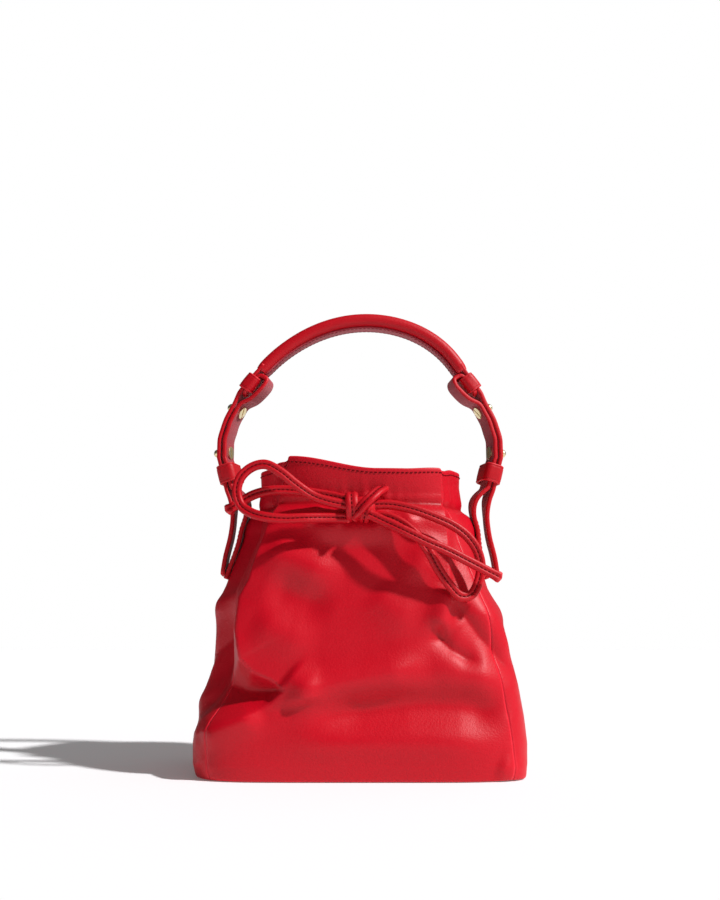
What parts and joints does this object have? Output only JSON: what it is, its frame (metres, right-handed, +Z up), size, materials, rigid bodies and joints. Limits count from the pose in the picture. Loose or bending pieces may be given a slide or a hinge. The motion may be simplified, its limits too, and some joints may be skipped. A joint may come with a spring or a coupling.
{
  "type": "bucket bag",
  "caption": "Small gathered leather bucket bag with a lace bow at the mouth and one rolled top handle buckled to side tabs.",
  "frame": {"origin": "middle of the base's underside, on the surface the bag stands on", "axes": "+Z up, +X to the viewer's right when the bow faces the viewer, the bow faces -Y"},
  "size_m": [0.218, 0.143, 0.3211],
  "materials": {
    "bag_leather": "smooth semi-gloss",
    "strap_leather": "smooth semi-gloss, painted edges",
    "lace_leather": "folded and stitched, semi-gloss",
    "underside_leather": "matt",
    "lining_cloth": "woven, matt",
    "stiff_board": "bonded fibre board, matt",
    "handle_filler": "twisted cotton, matt",
    "gold_metal": "polished pale gold"
  },
  "bodies": {
    "bag": {"front_panel": "bag_leather", "back_panel": "bag_leather", "left_gusset": "bag_leather", "right_gusset": "bag_leather", "base_panel": "bag_leather", "base_board": "stiff_board", "lining_walls": "lining_cloth", "lining_floor": "lining_cloth", "mouth_facing": "bag_leather", "tab_backing_left": "stiff_board", "tab_backing_right": "stiff_board", "drawstring_run": "lace_leather", "bow_knot": "lace_leather", "bow_loop_left": "lace_leather", "bow_loop_right": "lace_leather", "bow_tail_left": "lace_leather", "bow_tail_right": "lace_leather", "tab_root_left": "strap_leather", "tab_root_right": "strap_leather"},
    "handle": {"handle_cover": "strap_leather", "handle_core": "handle_filler", "handle_underside": "underside_leather", "handle_end_left": "strap_leather", "handle_end_right": "strap_leather", "tab_left": "strap_leather", "tab_right": "strap_leather", "upper_stud_left": "gold_metal", "upper_stud_right": "gold_metal", "lower_stud_left": "gold_metal", "lower_stud_right": "gold_metal", "upper_screw_left": "gold_metal", "upper_screw_right": "gold_metal", "lower_screw_left": "gold_metal", "lower_screw_right": "gold_metal"},
    "upper_keeper_left": {"upper_keeper_left": "strap_leather"},
    "upper_keeper_right": {"upper_keeper_right": "strap_leather"},
    "lower_keeper_left": {"lower_keeper_left": "strap_leather"},
    "lower_keeper_right": {"lower_keeper_right": "strap_leather"}
  },
  "joints": [
    {"name": "handle_swing", "type": "hinge", "parent": "bag", "child": "handle", "pos_m": [0, 0, 0.18], "axis": [1, 0, 0], "range_deg": [-75, 60]},
    {"name": "upper_keeper_slide_left", "type": "slide", "parent": "handle", "child": "upper_keeper_left", "axis": [-0.5592, 0, -0.829], "range_m": [0, 0.003]},
    {"name": "upper_keeper_slide_right", "type": "slide", "parent": "handle", "child": "upper_keeper_right", "axis": [0.5592, 0, -0.829], "range_m": [0, 0.003]},
    {"name": "lower_keeper_slide_left", "type": "slide", "parent": "handle", "child": "lower_keeper_left", "axis": [-0.2521, 0, 0.9677], "range_m": [-0.003, 0.003]},
    {"name": "lower_keeper_slide_right", "type": "slide", "parent": "handle", "child": "lower_keeper_right", "axis": [0.2521, 0, 0.9677], "range_m": [-0.003, 0.003]}
  ]
}
